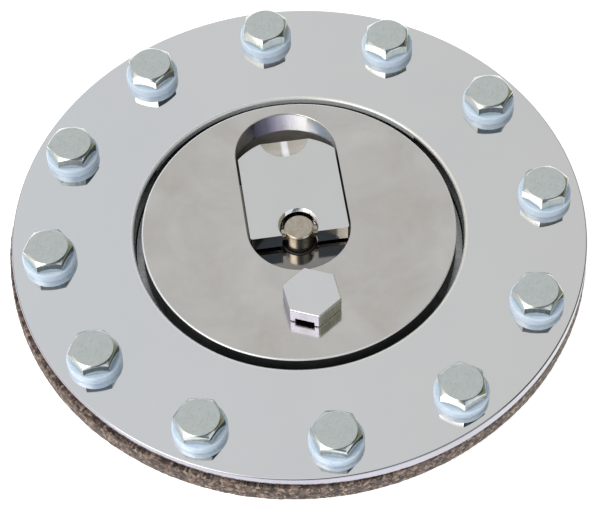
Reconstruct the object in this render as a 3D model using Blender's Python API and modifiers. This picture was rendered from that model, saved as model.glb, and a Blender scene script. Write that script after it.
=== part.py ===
"""A flush filler flange with a quick-release cap, in metres, +Z up.

A round flange is bolted through a gasket and a tank wall into a nut ring. A cap disc lies flush in
its opening. A lever folded into the cap pulls a spindle up, which squeezes a rubber expander ring
against the neck's bore. A spring-loaded ball vents the tank through a hexagon head.
The origin is on the axis at the neck's lower end. +Y points from the spindle to the lever's free end.
"""

from math import asin, cos, pi, radians, sin, sqrt, tan

import bmesh
import bpy
from mathutils import Matrix

MM = 0.001
FINE_GAP = 0.1 * MM
GAP = 0.3 * MM

# Flange and neck
FLANGE_TOP = 32.0 * MM
FLANGE_RADIUS = 69.85 * MM
RIM_THICKNESS = 2.8 * MM
RIM_CHAMFER = 0.4 * MM
OPENING_RADIUS = 40.2 * MM
OPENING_LIP = 0.8 * MM
LEDGE_DEPTH = 6.8 * MM
NECK_BORE_RADIUS = 36.9 * MM
NECK_RADIUS = 45.0 * MM

# Gasket and nut ring, on either side of the tank wall
GASKET_THICKNESS = 4.9 * MM
GASKET_RADIUS = 71.3 * MM
GASKET_BORE_RADIUS = 45.6 * MM
TANK_WALL = 2.1 * MM
NUT_RING_RADIUS = 65.0 * MM
NUT_RING_BORE_RADIUS = 51.0 * MM
NUT_RING_THICKNESS = 4.4 * MM

# Bolts, M6 with low heads, on thick plastic washers
BOLT_COUNT = 12
BOLT_CIRCLE_RADIUS = 60.7 * MM
BOLT_RADIUS = 3.0 * MM
BOLT_HOLE_RADIUS = 3.3 * MM
BOLT_HEAD_FLATS = 10.5 * MM
BOLT_HEAD_CHAMFER = 0.4 * MM
BOLT_HEAD_HEIGHT = 3.2 * MM
BOLT_LENGTH = 16.4 * MM
HEAD_SLOPE_DEG = 32
BOLT_TURNS_DEG = (46, 47, 25, 40, 18, 56, 15, 18, 32, 29, 23, 5)
WASHER_RADIUS = 6.5 * MM
WASHER_THICKNESS = 2.2 * MM

# Cap disc
CAP_TOP = FLANGE_TOP + 0.5 * MM
CAP_RADIUS = 38.3 * MM
CAP_CHAMFER = 0.4 * MM
CAP_BOSS_RADIUS = 36.4 * MM
CAP_BOSS_BOTTOM = FLANGE_TOP - 9.5 * MM
CAP_SPIGOT_RADIUS = 30.7 * MM
CAP_SPIGOT_BOTTOM = FLANGE_TOP - 12.5 * MM

# Pocket in the cap: round at both ends, with a deeper finger recess at the lever's free end.
# The recess's far side slopes down to a flatter arc, then drops straight to its floor.
POCKET_RADIUS = 12.6 * MM
POCKET_LENGTH = 22.6 * MM
POCKET_FLOOR = CAP_TOP - 5.8 * MM
RECESS_START = 19.0 * MM
RECESS_FLOOR = CAP_TOP - 7.6 * MM
SLOPE_FALL = 3.2 * MM
SLOPE_ARC_RADIUS = 15.2 * MM
SLOPE_ARC_Y = 17.3 * MM

# Spindle, cross pin and seal
SPINDLE_RADIUS = 3.6 * MM
SPINDLE_THREAD_RADIUS = 3.0 * MM
SPINDLE_CHAMFER = 0.3 * MM
SPINDLE_BOTTOM = FLANGE_TOP - 26.2 * MM
SPINDLE_TRAVEL = 0.8 * MM
PIN_RADIUS = 1.5 * MM
PIN_LENGTH = 22.6 * MM
SEAL_RADIUS = 4.0 * MM
SEAL_SECTION = 0.35 * MM

# Lever
LEVER_WIDTH = 24.2 * MM
LEVER_THICKNESS = 4.9 * MM
LEVER_HEEL = 2.0 * MM
LEVER_SHOULDER = 22.5 * MM
LEVER_TIP = 27.6 * MM
LEVER_NOTCH_RADIUS = 4.4 * MM
LEVER_NOTCH_Y = 0.6 * MM
LEVER_HEEL_CHAMFER = 0.5 * MM
DISH_RADIUS = 6.3 * MM
DISH_DEPTH = 1.5 * MM
DISH_OFFSET = 0.4 * MM
PIN_HEIGHT = CAP_TOP - LEVER_THICKNESS / 2

# Expander ring, pressure plate and what holds it
EXPANDER_TOP = CAP_BOSS_BOTTOM - GAP
EXPANDER_HEIGHT = 7.0 * MM
EXPANDER_RADIUS = 36.5 * MM
EXPANDER_BORE_RADIUS = 31.0 * MM
PLATE_TOP = EXPANDER_TOP - EXPANDER_HEIGHT - GAP
PLATE_THICKNESS = 3.0 * MM
PLATE_RADIUS = 36.2 * MM
PLATE_COLLAR_RADIUS = 27.5 * MM
PLATE_COLLAR_HEIGHT = 3.1 * MM
SPRING_RADIUS = 6.5 * MM
SPRING_WIRE_RADIUS = 0.6 * MM
SPRING_TURNS = 2.5
PLATE_WASHER_RADIUS = 6.5 * MM
PLATE_WASHER_THICKNESS = 1.0 * MM
NUT_FLATS = 10.0 * MM
NUT_HEIGHT = 4.0 * MM

# Vent
VENT_Y = -22.5 * MM
VENT_FLATS = 12.6 * MM
VENT_HEAD_BOTTOM = CAP_TOP + 0.2 * MM
VENT_HEAD_TOP = CAP_TOP + 4.7 * MM
VENT_TURN = radians(6)
VENT_SLOT_WIDTH = 4.4 * MM
VENT_SLOT_HEIGHT = 1.2 * MM
VENT_SLOT_DIRECTION = radians(-114)
VENT_STEM_RADIUS = 4.0 * MM
VENT_STEM_BOTTOM = FLANGE_TOP - 12.2 * MM
VENT_PASSAGE_RADIUS = 1.5 * MM
VENT_CHAMBER_RADIUS = 2.6 * MM
VENT_SEAT = FLANGE_TOP - 4.5 * MM
VENT_BALL_RADIUS = 2.2 * MM
VENT_SPRING_RADIUS = 1.7 * MM
VENT_SPRING_WIRE_RADIUS = 0.25 * MM
VENT_SPRING_TURNS = 3
VENT_RETAINER_THICKNESS = 0.8 * MM

LARGE_SEGMENTS = 60
MEDIUM_SEGMENTS = 40
SMALL_SEGMENTS = 20
HOLE_SEGMENTS = 10
COIL_POINTS_PER_TURN = 12


def clear_scene():
    for item in list(bpy.data.objects):
        bpy.data.objects.remove(item, do_unlink=True)


def new_collection(name):
    collection = bpy.data.collections.new(name)
    bpy.context.scene.collection.children.link(collection)
    return collection


def new_material(name, colour, metallic, roughness):
    material = bpy.data.materials.new(name)
    material.use_nodes = True
    shader = material.node_tree.nodes["Principled BSDF"]
    shader.inputs["Base Color"].default_value = (*colour, 1)
    shader.inputs["Metallic"].default_value = metallic
    shader.inputs["Roughness"].default_value = roughness
    return material


clear_scene()
PARTS = new_collection("filler_flange")
CUTTERS = new_collection("cutters")


def add_part(name, mesh, material, location=(0, 0, 0)):
    """A visible piece. Repeated pieces share one mesh, which keeps its first material."""
    piece = bpy.data.objects.new(name, mesh)
    if not mesh.materials:
        mesh.materials.append(material)
    piece.location = location
    mesh.shade_smooth()
    mesh.set_sharp_from_angle(angle=radians(30))
    PARTS.objects.link(piece)
    return piece


def add_cutter(name, mesh, location=(0, 0, 0)):
    cutter = bpy.data.objects.new(name, mesh)
    cutter.location = location
    cutter.hide_render = True
    cutter.display_type = "WIRE"
    CUTTERS.objects.link(cutter)
    return cutter


def cut(piece, *cutters):
    for cutter in cutters:
        modifier = piece.modifiers.new("cut " + cutter.name, "BOOLEAN")
        modifier.operation = "DIFFERENCE"
        modifier.solver = "EXACT"
        modifier.object = cutter


def evaluated_mesh(item):
    """The item's shape with its modifiers applied, its loose caps welded."""
    bpy.context.view_layer.update()
    graph = bpy.context.evaluated_depsgraph_get()
    mesh = bpy.data.meshes.new_from_object(item.evaluated_get(graph))
    shape = bmesh.new()
    shape.from_mesh(mesh)
    bmesh.ops.remove_doubles(shape, verts=shape.verts, dist=0.001 * MM)
    shape.to_mesh(mesh)
    shape.free()
    return mesh


def taken_mesh(item):
    """The item's evaluated shape; the item itself is removed."""
    mesh = evaluated_mesh(item)
    bpy.data.objects.remove(item, do_unlink=True)
    return mesh


def turned_mesh(name, profile, segments):
    """A closed profile of (radius, height) points, down its outer side first, turned about Z."""
    mesh = bpy.data.meshes.new(name)
    closed = profile[0][0] > 0
    edges = [(i, i + 1) for i in range(len(profile) - 1)]
    if closed:
        edges.append((len(profile) - 1, 0))
    mesh.from_pydata([(radius, 0, height) for radius, height in profile], edges, [])
    item = bpy.data.objects.new(name, mesh)
    PARTS.objects.link(item)
    screw = item.modifiers.new("turn", "SCREW")
    screw.angle = 2 * pi
    screw.steps = segments
    screw.render_steps = segments
    screw.use_merge_vertices = True
    screw.merge_threshold = 0.001 * MM
    return taken_mesh(item)


def ring_profile(inner, outer, bottom, top):
    return [(outer, top), (outer, bottom), (inner, bottom), (inner, top)]


def cylinder_mesh(name, radius, height, segments, axis="Z", turn=0.0):
    """A cylinder or prism centred on its origin."""
    mesh = bpy.data.meshes.new(name)
    shape = bmesh.new()
    bmesh.ops.create_cone(
        shape, cap_ends=True, segments=segments, radius1=radius, radius2=radius, depth=height
    )
    shape.transform(Matrix.Rotation(turn, 4, "Z"))
    if axis == "X":
        shape.transform(Matrix.Rotation(pi / 2, 4, "Y"))
    shape.to_mesh(mesh)
    shape.free()
    return mesh


def box_mesh(name, size, turn=0.0, axis="Z"):
    mesh = bpy.data.meshes.new(name)
    shape = bmesh.new()
    bmesh.ops.create_cube(shape, size=1)
    shape.transform(Matrix.Diagonal((*size, 1)))
    shape.transform(Matrix.Rotation(turn, 4, axis))
    shape.to_mesh(mesh)
    shape.free()
    return mesh


def combined_mesh(name, first, second, operation):
    """One mesh from two, by UNION, DIFFERENCE or INTERSECT."""
    item = bpy.data.objects.new(name, first)
    PARTS.objects.link(item)
    other = add_cutter(name + "_other", second)
    modifier = item.modifiers.new("combine", "BOOLEAN")
    modifier.operation = operation
    modifier.solver = "EXACT"
    modifier.object = other
    mesh = taken_mesh(item)
    bpy.data.objects.remove(other, do_unlink=True)
    return mesh


def arc(centre, radius, start, end, steps):
    """Points from angle start to end, both included, in radians."""
    angles = [start + (end - start) * i / steps for i in range(steps + 1)]
    return [(centre[0] + radius * cos(a), centre[1] + radius * sin(a)) for a in angles]


def plate_mesh(name, outline, bottom, top):
    """A flat outline filled and given its thickness."""
    curve = bpy.data.curves.new(name, "CURVE")
    curve.dimensions = "2D"
    curve.fill_mode = "BOTH"
    curve.extrude = (top - bottom) / 2
    spline = curve.splines.new("POLY")
    spline.points.add(len(outline) - 1)
    for point, (x, y) in zip(spline.points, outline):
        point.co = (x, y, 0, 1)
    spline.use_cyclic_u = True
    item = bpy.data.objects.new(name, curve)
    PARTS.objects.link(item)
    mesh = taken_mesh(item)
    mesh.transform(Matrix.Translation((0, 0, (top + bottom) / 2)))
    return mesh


def coil_mesh(name, radius, wire_radius, bottom, top, turns):
    """A helical spring of round wire between two heights, which its wire just reaches."""
    curve = bpy.data.curves.new(name, "CURVE")
    curve.dimensions = "3D"
    curve.bevel_depth = wire_radius
    curve.bevel_resolution = 2
    curve.use_fill_caps = True
    count = round(turns * COIL_POINTS_PER_TURN)
    low = bottom + wire_radius
    high = top - wire_radius
    spline = curve.splines.new("POLY")
    spline.points.add(count)
    for i, point in enumerate(spline.points):
        angle = 2 * pi * turns * i / count
        height = low + (high - low) * i / count
        point.co = (radius * cos(angle), radius * sin(angle), height, 1)
    item = bpy.data.objects.new(name, curve)
    PARTS.objects.link(item)
    return taken_mesh(item)


def bolt_angles():
    """The bolts' directions from the axis, the first along +Y, going round clockwise from above."""
    return [pi / 2 - 2 * pi * i / BOLT_COUNT for i in range(BOLT_COUNT)]


def bolt_hole_cutter():
    """All the bolt holes as one cutter, long enough for the flange, the gasket and the nut ring."""
    mesh = bpy.data.meshes.new("bolt_holes")
    shape = bmesh.new()
    for angle in bolt_angles():
        place = (BOLT_CIRCLE_RADIUS * cos(angle), BOLT_CIRCLE_RADIUS * sin(angle), FLANGE_TOP)
        bmesh.ops.create_cone(
            shape, cap_ends=True, segments=HOLE_SEGMENTS, radius1=BOLT_HOLE_RADIUS,
            radius2=BOLT_HOLE_RADIUS, depth=2 * FLANGE_TOP, matrix=Matrix.Translation(place),
        )
    shape.to_mesh(mesh)
    shape.free()
    return add_cutter("bolt_holes", mesh)


def make_flange(metal, holes):
    rim_bottom = FLANGE_TOP - RIM_THICKNESS
    ledge = FLANGE_TOP - LEDGE_DEPTH
    lip_centre = (OPENING_RADIUS + OPENING_LIP, FLANGE_TOP - OPENING_LIP)
    profile = [
        (FLANGE_RADIUS - RIM_CHAMFER, FLANGE_TOP),
        (FLANGE_RADIUS, FLANGE_TOP - RIM_CHAMFER),
        (FLANGE_RADIUS, rim_bottom),
        (NECK_RADIUS, rim_bottom),
        (NECK_RADIUS, 0),
        (NECK_BORE_RADIUS, 0),
        (NECK_BORE_RADIUS, ledge),
        (OPENING_RADIUS, ledge),
        *arc(lip_centre, OPENING_LIP, pi, pi / 2, 4),
    ]
    flange = add_part("flange_ring", turned_mesh("flange_ring", profile, LARGE_SEGMENTS), metal)
    cut(flange, holes)


def make_gasket(cork, holes):
    top = FLANGE_TOP - RIM_THICKNESS - GAP
    profile = ring_profile(GASKET_BORE_RADIUS, GASKET_RADIUS, top - GASKET_THICKNESS, top)
    gasket = add_part("gasket", turned_mesh("gasket", profile, LARGE_SEGMENTS), cork)
    cut(gasket, holes)
    return top - GASKET_THICKNESS


def make_nut_ring(metal, holes, gasket_bottom):
    top = gasket_bottom - TANK_WALL
    profile = ring_profile(NUT_RING_BORE_RADIUS, NUT_RING_RADIUS, top - NUT_RING_THICKNESS, top)
    ring = add_part("nut_ring", turned_mesh("nut_ring", profile, MEDIUM_SEGMENTS), metal)
    cut(ring, holes)


def hexagon_head_mesh(name, flats, bottom, top, chamfer, turn=0.0):
    """A hexagon prism whose upper corners are turned off by a cone."""
    corner_radius = flats / sqrt(3)
    height = top - bottom
    prism = cylinder_mesh(name, corner_radius, height, 6, turn=turn)
    prism.transform(Matrix.Translation((0, 0, (top + bottom) / 2)))
    flat_radius = flats / 2 - chamfer
    fall = (corner_radius - flat_radius) * tan(radians(HEAD_SLOPE_DEG))
    profile = [
        (0, top),
        (flat_radius, top),
        (corner_radius, top - fall),
        (2 * corner_radius, top - fall),
        (2 * corner_radius, bottom - height),
        (0, bottom - height),
    ]
    cone = turned_mesh(name + "_cone", profile, SMALL_SEGMENTS)
    return combined_mesh(name, prism, cone, "INTERSECT")


def make_bolts(zinc, nylon):
    washer_bottom = FLANGE_TOP + FINE_GAP
    head_bottom = washer_bottom + WASHER_THICKNESS + FINE_GAP
    head = hexagon_head_mesh("bolt", BOLT_HEAD_FLATS, 0, BOLT_HEAD_HEIGHT, BOLT_HEAD_CHAMFER)
    tip = 0.6 * MM
    shank_profile = [
        (0, BOLT_HEAD_HEIGHT / 2),
        (BOLT_RADIUS, BOLT_HEAD_HEIGHT / 2),
        (BOLT_RADIUS, tip - BOLT_LENGTH),
        (BOLT_RADIUS - tip, -BOLT_LENGTH),
        (0, -BOLT_LENGTH),
    ]
    shank = turned_mesh("shank", shank_profile, HOLE_SEGMENTS)
    bolt_mesh = combined_mesh("bolt", head, shank, "UNION")
    washer_profile = ring_profile(BOLT_HOLE_RADIUS, WASHER_RADIUS, 0, WASHER_THICKNESS)
    washer_mesh = turned_mesh("washer", washer_profile, SMALL_SEGMENTS)
    for i, angle in enumerate(bolt_angles()):
        x = BOLT_CIRCLE_RADIUS * cos(angle)
        y = BOLT_CIRCLE_RADIUS * sin(angle)
        add_part(f"washer_{i + 1:02d}", washer_mesh, nylon, (x, y, washer_bottom))
        bolt = add_part(f"bolt_{i + 1:02d}", bolt_mesh, zinc, (x, y, head_bottom))
        bolt.rotation_euler = (0, 0, radians(BOLT_TURNS_DEG[i]))


def slope_foot(point):
    """Where a point of the pocket's far edge comes down to, at the slope's foot."""
    x, y = point
    reach = SLOPE_ARC_RADIUS**2 - x * x
    return (x, min(y, SLOPE_ARC_Y + sqrt(reach)))


def lofted_mesh(name, rings):
    """A closed body through rings of equally many (x, y) points, each with its height, lowest first."""
    mesh = bpy.data.meshes.new(name)
    count = len(rings[0][0])
    points = [(x, y, height) for ring, height in rings for x, y in ring]
    faces = [list(range(count))[::-1], [len(points) - count + i for i in range(count)]]
    for level in range(len(rings) - 1):
        low = level * count
        for i in range(count):
            j = (i + 1) % count
            faces.append([low + i, low + j, low + count + j, low + count + i])
    mesh.from_pydata(points, [], faces)
    return mesh


def pocket_mesh(top):
    """A slot with round ends, as deep as the finger recess, less a block that leaves the shallow floor."""
    near_end = arc((0, 0), POCKET_RADIUS, pi, 2 * pi, 24)
    far_end = arc((0, POCKET_LENGTH), POCKET_RADIUS, 0, pi, 24)
    upper = near_end + far_end
    lower = near_end + [slope_foot(point) for point in far_end]
    rings = [(lower, RECESS_FLOOR), (lower, CAP_TOP - SLOPE_FALL), (upper, CAP_TOP), (upper, top)]
    slot = lofted_mesh("pocket", rings)
    block_height = 4 * MM
    block_length = RECESS_START + 2 * POCKET_RADIUS
    block = box_mesh("pocket_block", (4 * POCKET_RADIUS, block_length, block_height))
    centre = (0, RECESS_START - block_length / 2, POCKET_FLOOR - block_height / 2)
    block.transform(Matrix.Translation(centre))
    return combined_mesh("pocket", slot, block, "DIFFERENCE")


def make_cap_disc(metal):
    seal_seat = SEAL_RADIUS + SEAL_SECTION + 0.25 * MM
    rim_bottom = FLANGE_TOP - LEDGE_DEPTH + GAP
    spindle_hole = SPINDLE_RADIUS + GAP
    seal_bottom = POCKET_FLOOR - 1.1 * MM
    profile = [
        (CAP_RADIUS - CAP_CHAMFER, CAP_TOP),
        (CAP_RADIUS, CAP_TOP - CAP_CHAMFER),
        (CAP_RADIUS, rim_bottom),
        (CAP_BOSS_RADIUS, rim_bottom),
        (CAP_BOSS_RADIUS, CAP_BOSS_BOTTOM),
        (CAP_SPIGOT_RADIUS, CAP_BOSS_BOTTOM),
        (CAP_SPIGOT_RADIUS, CAP_SPIGOT_BOTTOM),
        (spindle_hole, CAP_SPIGOT_BOTTOM),
        (spindle_hole, seal_bottom),
        (seal_seat, seal_bottom),
        (seal_seat, CAP_TOP),
    ]
    disc = add_part("cap_disc", turned_mesh("cap_disc", profile, LARGE_SEGMENTS), metal)
    pocket = add_cutter("pocket", pocket_mesh(CAP_TOP + 2 * MM))
    hole_mesh = cylinder_mesh("vent_hole", VENT_STEM_RADIUS + GAP, 3 * FLANGE_TOP, SMALL_SEGMENTS)
    cut(disc, pocket, add_cutter("vent_hole", hole_mesh, (0, VENT_Y, FLANGE_TOP)))


def make_spindle(nickel):
    neck = PLATE_TOP + 1.0 * MM
    profile = [
        (0, CAP_TOP),
        (SPINDLE_RADIUS - SPINDLE_CHAMFER, CAP_TOP),
        (SPINDLE_RADIUS, CAP_TOP - SPINDLE_CHAMFER),
        (SPINDLE_RADIUS, neck),
        (SPINDLE_THREAD_RADIUS, neck),
        (SPINDLE_THREAD_RADIUS, SPINDLE_BOTTOM + SPINDLE_CHAMFER),
        (SPINDLE_THREAD_RADIUS - SPINDLE_CHAMFER, SPINDLE_BOTTOM),
        (0, SPINDLE_BOTTOM),
    ]
    spindle = add_part("spindle", turned_mesh("spindle", profile, SMALL_SEGMENTS), nickel)
    hole = cylinder_mesh("spindle_pin_hole", PIN_RADIUS + GAP, 3 * SPINDLE_RADIUS, HOLE_SEGMENTS, "X")
    cut(spindle, add_cutter("spindle_pin_hole", hole, (0, 0, PIN_HEIGHT)))
    pin = cylinder_mesh("cross_pin", PIN_RADIUS, PIN_LENGTH, HOLE_SEGMENTS, "X")
    add_part("cross_pin", pin, nickel, (0, 0, PIN_HEIGHT))


def make_spindle_seal(rubber):
    centre = POCKET_FLOOR - SEAL_SECTION + 0.05 * MM
    section = arc((SEAL_RADIUS, centre), SEAL_SECTION, pi / 2, pi / 2 - 2 * pi * 7 / 8, 7)
    add_part("spindle_seal", turned_mesh("spindle_seal", section, SMALL_SEGMENTS), rubber)


def lever_outline():
    """Square heel with a notch for the spindle, straight sides and a slightly rounded free end."""
    half = LEVER_WIDTH / 2
    rise = LEVER_TIP - LEVER_SHOULDER
    tip_radius = (half * half + rise * rise) / (2 * rise)
    spread = asin(half / tip_radius)
    tip = arc((0, LEVER_TIP - tip_radius), tip_radius, pi / 2 - spread, pi / 2 + spread, 12)
    notch = arc((0, LEVER_NOTCH_Y), LEVER_NOTCH_RADIUS, pi, 0, 16)
    notch_start = (-LEVER_NOTCH_RADIUS, -LEVER_HEEL)
    notch_end = (LEVER_NOTCH_RADIUS, -LEVER_HEEL)
    return tip + [(-half, -LEVER_HEEL), notch_start] + notch + [notch_end, (half, -LEVER_HEEL)]


def make_lever(metal):
    """The lever's own origin is on the cross pin, which it turns on."""
    half = LEVER_THICKNESS / 2
    mesh = plate_mesh("lever", lever_outline(), -half, half)
    lever = add_part("lever", mesh, metal, (0, 0, PIN_HEIGHT))
    hole = cylinder_mesh("lever_pin_hole", PIN_RADIUS + GAP, 2 * LEVER_WIDTH, HOLE_SEGMENTS, "X")
    ball_radius = (DISH_RADIUS**2 + DISH_DEPTH**2) / (2 * DISH_DEPTH)
    dish = bpy.data.meshes.new("thumb_dish")
    shape = bmesh.new()
    bmesh.ops.create_uvsphere(shape, u_segments=40, v_segments=40, radius=ball_radius)
    shape.transform(Matrix.Rotation(pi / 2, 4, "X"))
    shape.to_mesh(dish)
    shape.free()
    dish_place = (0, LEVER_TIP + DISH_OFFSET, CAP_TOP - DISH_DEPTH + ball_radius)
    chamfer_size = LEVER_HEEL_CHAMFER * sqrt(2)
    chamfer = box_mesh("heel_chamfer", (2 * LEVER_WIDTH, chamfer_size, chamfer_size), pi / 4, "X")
    heel_edge = (0, -LEVER_HEEL, PIN_HEIGHT - half)
    cut(
        lever,
        add_cutter("lever_pin_hole", hole, (0, 0, PIN_HEIGHT)),
        add_cutter("thumb_dish", dish, dish_place),
        add_cutter("heel_chamfer", chamfer, heel_edge),
    )
    return lever


def make_expander(rubber):
    bulge = 0.3 * MM
    side = EXPANDER_RADIUS - bulge
    bottom = EXPANDER_TOP - EXPANDER_HEIGHT
    edge = 0.8 * MM
    profile = [
        (side - edge, EXPANDER_TOP),
        (side, EXPANDER_TOP - edge),
        (EXPANDER_RADIUS, EXPANDER_TOP - EXPANDER_HEIGHT / 2),
        (side, bottom + edge),
        (side - edge, bottom),
        (EXPANDER_BORE_RADIUS, bottom),
        (EXPANDER_BORE_RADIUS, EXPANDER_TOP),
    ]
    add_part("expander_ring", turned_mesh("expander_ring", profile, MEDIUM_SEGMENTS), rubber)


def make_pressure_plate(metal):
    plate_bottom = PLATE_TOP - PLATE_THICKNESS
    collar_top = PLATE_TOP + PLATE_COLLAR_HEIGHT
    hole = SPINDLE_THREAD_RADIUS + GAP
    profile = [
        (CAP_SPIGOT_RADIUS, collar_top),
        (CAP_SPIGOT_RADIUS, PLATE_TOP),
        (PLATE_RADIUS, PLATE_TOP),
        (PLATE_RADIUS, plate_bottom),
        (hole, plate_bottom),
        (hole, PLATE_TOP),
        (PLATE_COLLAR_RADIUS, PLATE_TOP),
        (PLATE_COLLAR_RADIUS, collar_top),
    ]
    plate = turned_mesh("pressure_plate", profile, MEDIUM_SEGMENTS)
    add_part("pressure_plate", plate, metal)
    return plate_bottom


def make_plate_fasteners(steel, plate_bottom):
    washer_top = plate_bottom - GAP
    washer_bottom = washer_top - PLATE_WASHER_THICKNESS
    hole = SPINDLE_THREAD_RADIUS + GAP
    profile = ring_profile(hole, PLATE_WASHER_RADIUS, washer_bottom, washer_top)
    add_part("plate_washer", turned_mesh("plate_washer", profile, SMALL_SEGMENTS), steel)
    nut_top = washer_bottom - GAP
    head = hexagon_head_mesh("adjusting_nut", NUT_FLATS, nut_top - NUT_HEIGHT, nut_top, 0.3 * MM)
    nut = add_part("adjusting_nut", head, steel)
    thread = cylinder_mesh("nut_hole", hole, 2 * FLANGE_TOP, SMALL_SEGMENTS)
    cut(nut, add_cutter("nut_hole", thread, (0, 0, 0)))


def make_release_spring(steel):
    top = CAP_SPIGOT_BOTTOM - GAP
    bottom = PLATE_TOP + GAP
    coil = coil_mesh("release_spring", SPRING_RADIUS, SPRING_WIRE_RADIUS, bottom, top, SPRING_TURNS)
    add_part("release_spring", coil, steel)


def make_vent(metal, steel):
    """A hollow screw: a slot under its head leads to a passage that the ball closes from below."""
    place = (0, VENT_Y, 0)
    head = hexagon_head_mesh(
        "vent_screw", VENT_FLATS, VENT_HEAD_BOTTOM, VENT_HEAD_TOP, -0.5 * MM, VENT_TURN
    )
    stem_top = (VENT_HEAD_BOTTOM + VENT_HEAD_TOP) / 2
    stem_profile = [
        (0, stem_top),
        (VENT_STEM_RADIUS, stem_top),
        (VENT_STEM_RADIUS, VENT_STEM_BOTTOM),
        (0, VENT_STEM_BOTTOM),
    ]
    stem = turned_mesh("vent_stem", stem_profile, SMALL_SEGMENTS)
    screw_mesh = combined_mesh("vent_screw", head, stem, "UNION")
    screw = add_part("vent_screw", screw_mesh, metal, place)
    slot_top = VENT_HEAD_BOTTOM + VENT_SLOT_HEIGHT
    bore_profile = [
        (0, slot_top - FINE_GAP),
        (VENT_PASSAGE_RADIUS, slot_top - FINE_GAP),
        (VENT_PASSAGE_RADIUS, VENT_SEAT),
        (VENT_CHAMBER_RADIUS, VENT_SEAT - (VENT_CHAMBER_RADIUS - VENT_PASSAGE_RADIUS)),
        (VENT_CHAMBER_RADIUS, 0),
        (0, 0),
    ]
    bore = turned_mesh("vent_bore", bore_profile, SMALL_SEGMENTS)
    slot_size = (VENT_FLATS, VENT_SLOT_WIDTH, 2 * VENT_SLOT_HEIGHT)
    slot = box_mesh("vent_slot", slot_size, VENT_SLOT_DIRECTION)
    slot_place = (
        VENT_FLATS / 2 * cos(VENT_SLOT_DIRECTION),
        VENT_Y + VENT_FLATS / 2 * sin(VENT_SLOT_DIRECTION),
        VENT_HEAD_BOTTOM,
    )
    cut(screw, add_cutter("vent_bore", bore, place), add_cutter("vent_slot", slot, slot_place))

    drop = sqrt(VENT_BALL_RADIUS**2 - VENT_PASSAGE_RADIUS**2)
    ball_height = VENT_SEAT - drop - GAP
    ball = bpy.data.meshes.new("vent_ball")
    shape = bmesh.new()
    bmesh.ops.create_uvsphere(shape, u_segments=12, v_segments=8, radius=VENT_BALL_RADIUS)
    shape.to_mesh(ball)
    shape.free()
    add_part("vent_ball", ball, steel, (0, VENT_Y, ball_height))

    retainer_top = VENT_STEM_BOTTOM + VENT_RETAINER_THICKNESS
    outer = VENT_CHAMBER_RADIUS - GAP
    inner = 1.0 * MM
    retainer = turned_mesh(
        "vent_retainer", ring_profile(inner, outer, VENT_STEM_BOTTOM, retainer_top), SMALL_SEGMENTS
    )
    add_part("vent_retainer", retainer, steel, place)
    spring_top = ball_height - VENT_BALL_RADIUS - FINE_GAP
    spring_bottom = retainer_top + FINE_GAP
    coil = coil_mesh(
        "vent_spring", VENT_SPRING_RADIUS, VENT_SPRING_WIRE_RADIUS, spring_bottom, spring_top,
        VENT_SPRING_TURNS,
    )
    add_part("vent_spring", coil, steel, place)


def group_moving_pieces():
    """Each moving group hangs on an empty on its joint's axis: the cap, the spindle and the lever."""
    groups = {
        "cap_group": (
            (0, 0, 0),
            ["cap_disc", "spindle_seal", "vent_screw", "vent_retainer", "vent_ball", "vent_spring",
             "expander_ring", "release_spring"],
        ),
        "spindle_group": (
            (0, 0, PIN_HEIGHT),
            ["spindle", "cross_pin", "pressure_plate", "plate_washer", "adjusting_nut", "lever"],
        ),
    }
    for group, (place, members) in groups.items():
        empty = bpy.data.objects.new(group, None)
        empty.location = place
        PARTS.objects.link(empty)
        for member in members:
            piece = bpy.data.objects[member]
            piece.parent = empty
            piece.matrix_parent_inverse = Matrix.Translation(place).inverted()
    bpy.data.objects["spindle_group"].parent = bpy.data.objects["cap_group"]


def main():
    polished = new_material("polished aluminium", (0.80, 0.81, 0.82), 1.0, 0.06)
    cap_metal = new_material("polished cap aluminium", (0.78, 0.76, 0.73), 1.0, 0.12)
    lever_metal = new_material("satin lever", (0.78, 0.77, 0.75), 1.0, 0.15)
    nickel = new_material("nickel plate", (0.80, 0.74, 0.62), 1.0, 0.18)
    zinc = new_material("zinc plate", (0.62, 0.64, 0.58), 1.0, 0.35)
    steel = new_material("spring steel", (0.55, 0.55, 0.56), 1.0, 0.3)
    nylon = new_material("nylon", (0.83, 0.85, 0.82), 0.0, 0.4)
    cork = new_material("cork and rubber", (0.26, 0.19, 0.10), 0.0, 0.9)
    rubber = new_material("black rubber", (0.02, 0.02, 0.022), 0.0, 0.6)

    holes = bolt_hole_cutter()
    make_flange(polished, holes)
    gasket_bottom = make_gasket(cork, holes)
    make_nut_ring(steel, holes, gasket_bottom)
    make_bolts(zinc, nylon)
    make_cap_disc(cap_metal)
    make_vent(polished, steel)
    make_spindle(nickel)
    make_spindle_seal(rubber)
    make_lever(lever_metal)
    make_expander(rubber)
    plate_bottom = make_pressure_plate(polished)
    make_plate_fasteners(steel, plate_bottom)
    make_release_spring(steel)
    group_moving_pieces()


main()
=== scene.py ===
"""The looks of the filler flange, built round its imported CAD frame, in metres, +Z up.

Every CAD node is replaced by a finer piece of the same place and size, with a procedural material.
Sizes come from the CAD nodes' own boxes, and most others repeat the CAD model's named values.
"""

from math import asin, cos, pi, radians, sin, sqrt, tan

import bmesh
import bpy
from mathutils import Matrix, Vector, noise
from mathutils.geometry import delaunay_2d_cdt


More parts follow.
